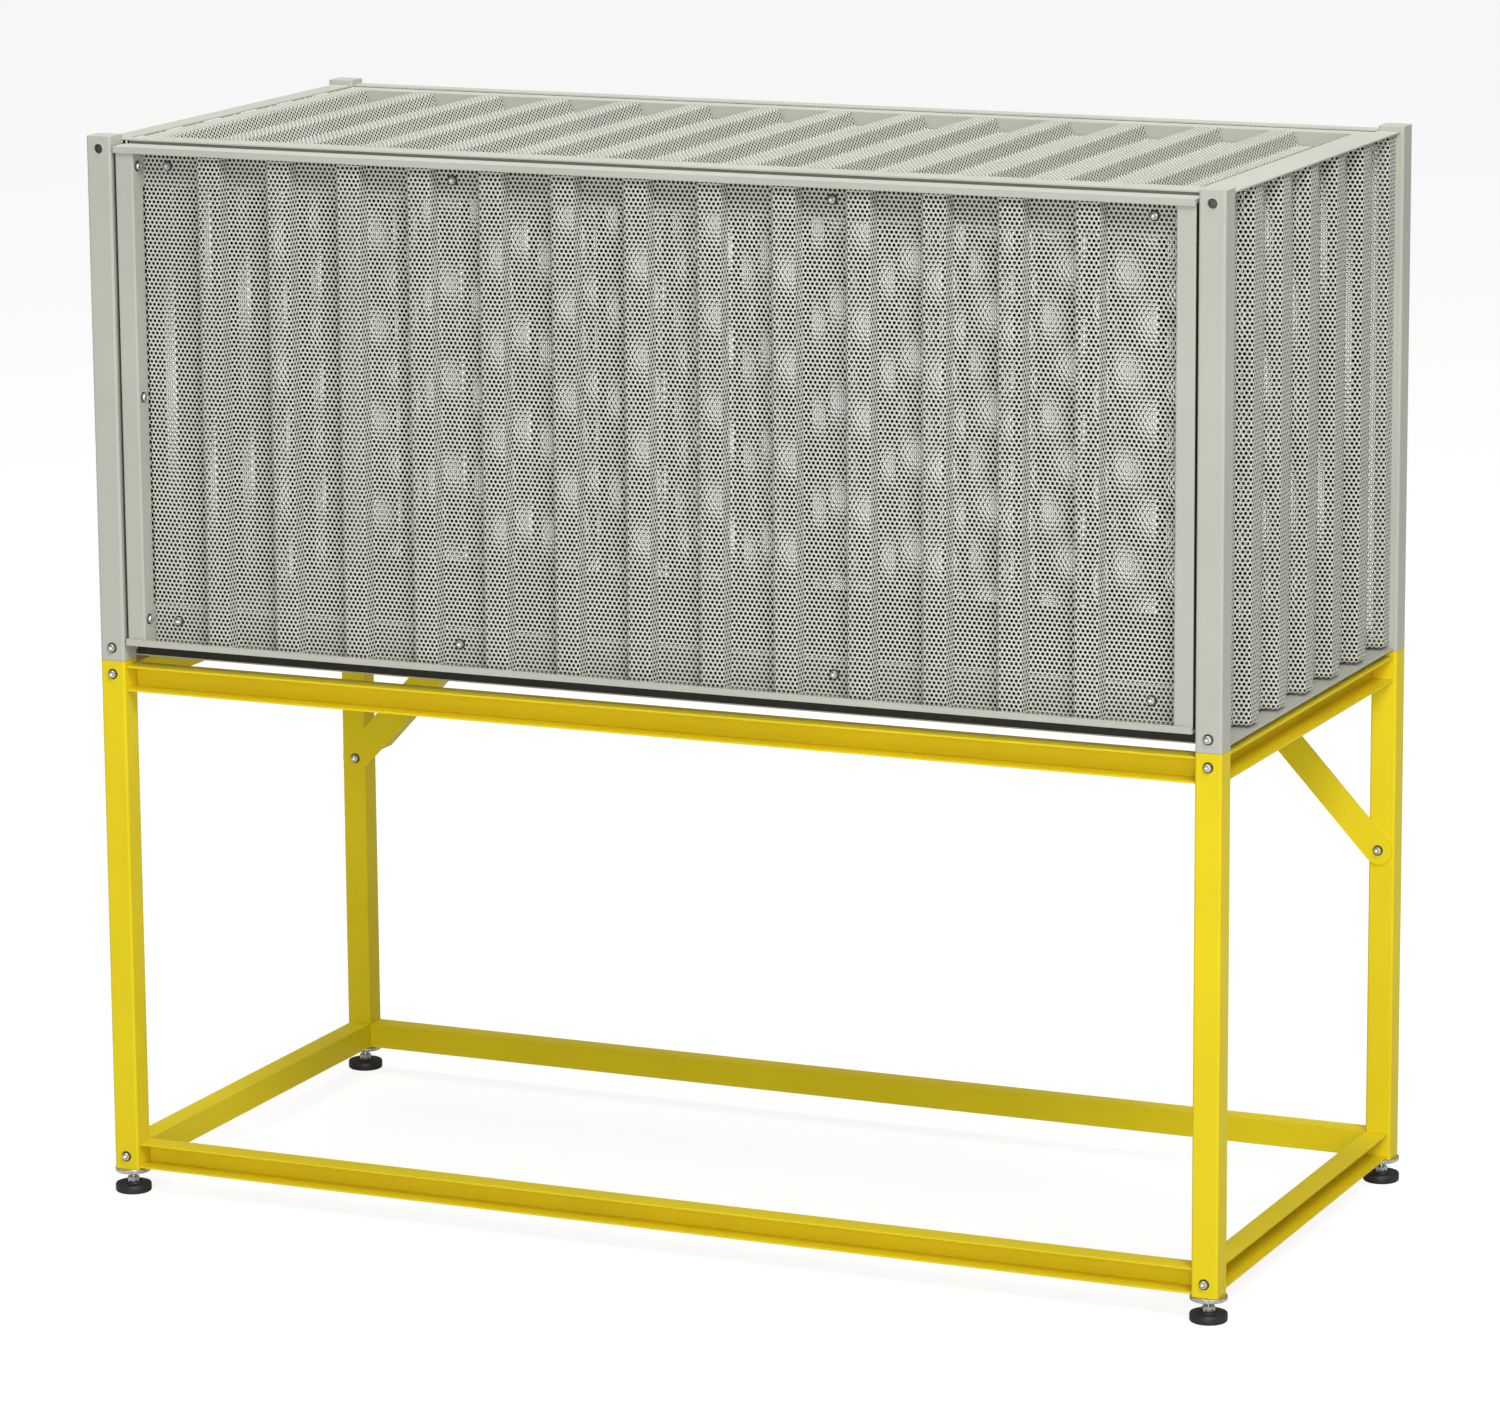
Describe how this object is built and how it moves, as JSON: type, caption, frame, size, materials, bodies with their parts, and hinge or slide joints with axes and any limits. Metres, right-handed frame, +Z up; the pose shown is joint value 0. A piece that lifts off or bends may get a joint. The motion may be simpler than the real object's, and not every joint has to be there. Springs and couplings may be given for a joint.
{
  "type": "container-style cabinet on a stand",
  "caption": "Corrugated, perforated sheet-metal cabinet with a drop-down front flap, on a square-tube stand with braces and levelling feet.",
  "frame": {"origin": "on the floor under the middle of the object", "axes": "+Z up, -Y towards the front with the flap, +X along the width to the right seen from the front"},
  "size_m": [1.21, 0.56, 1.09],
  "materials": {
    "grey_paint": "satin powder coat",
    "yellow_paint": "satin powder coat",
    "zinc_plate": "bright zinc plate",
    "magnet_black": "matte",
    "foot_plastic": "matte"
  },
  "bodies": {
    "cabinet": {"post_front_left": "grey_paint", "post_front_right": "grey_paint", "post_rear_left": "grey_paint", "post_rear_right": "grey_paint", "rim_front": "grey_paint", "rim_rear": "grey_paint", "rim_left": "grey_paint", "rim_right": "grey_paint", "roof_panel": "grey_paint", "side_wall_left": "grey_paint", "side_wall_right": "grey_paint", "side_ledge_left": "grey_paint", "side_ledge_right": "grey_paint", "back_wall": "grey_paint", "back_ledge": "grey_paint", "floor_tray": "grey_paint", "leg_front_left": "yellow_paint", "leg_front_right": "yellow_paint", "leg_rear_left": "yellow_paint", "leg_rear_right": "yellow_paint", "rail_upper_front": "yellow_paint", "rail_upper_rear": "yellow_paint", "rail_upper_left": "yellow_paint", "rail_upper_right": "yellow_paint", "rail_lower_front": "yellow_paint", "rail_lower_rear": "yellow_paint", "rail_lower_left": "yellow_paint", "rail_lower_right": "yellow_paint", "brace_left": "yellow_paint", "brace_right": "yellow_paint", "cabinet_screw_left": "zinc_plate", "cabinet_screw_right": "zinc_plate", "stand_screw_top_left": "zinc_plate", "stand_screw_top_right": "zinc_plate", "stand_screw_foot_left": "zinc_plate", "stand_screw_foot_right": "zinc_plate", "brace_screw_left": "zinc_plate", "brace_screw_right": "zinc_plate", "pivot_pin_left": "zinc_plate", "pivot_pin_right": "zinc_plate", "magnet_catch_left": "magnet_black", "magnet_catch_right": "magnet_black"},
    "flap": {"flap_rail_top": "grey_paint", "flap_rail_bottom": "grey_paint", "flap_stile_left": "grey_paint", "flap_stile_right": "grey_paint", "flap_panel": "grey_paint", "flap_screw_bottom_left": "zinc_plate", "flap_screw_bottom_right": "zinc_plate", "flap_screw_top_left": "zinc_plate", "flap_screw_top_right": "zinc_plate"},
    "foot_front_left": {"foot_spindle_front_left": "zinc_plate", "foot_pad_front_left": "foot_plastic"},
    "foot_front_right": {"foot_spindle_front_right": "zinc_plate", "foot_pad_front_right": "foot_plastic"},
    "foot_rear_left": {"foot_spindle_rear_left": "zinc_plate", "foot_pad_rear_left": "foot_plastic"},
    "foot_rear_right": {"foot_spindle_rear_right": "zinc_plate", "foot_pad_rear_right": "foot_plastic"}
  },
  "joints": [
    {"name": "flap_hinge", "type": "hinge", "parent": "cabinet", "child": "flap", "pos_m": [0, -0.2615, 0.6], "axis": [1, 0, 0], "range_deg": [0, 90]},
    {"name": "foot_front_left_turn", "type": "hinge", "parent": "cabinet", "child": "foot_front_left", "pos_m": [-0.5865, -0.2615, 0.026], "axis": [0, 0, 1], "continuous": true},
    {"name": "foot_front_right_turn", "type": "hinge", "parent": "cabinet", "child": "foot_front_right", "pos_m": [0.5865, -0.2615, 0.026], "axis": [0, 0, 1], "continuous": true},
    {"name": "foot_rear_left_turn", "type": "hinge", "parent": "cabinet", "child": "foot_rear_left", "pos_m": [-0.5865, 0.2615, 0.026], "axis": [0, 0, 1], "continuous": true},
    {"name": "foot_rear_right_turn", "type": "hinge", "parent": "cabinet", "child": "foot_rear_right", "pos_m": [0.5865, 0.2615, 0.026], "axis": [0, 0, 1], "continuous": true}
  ]
}
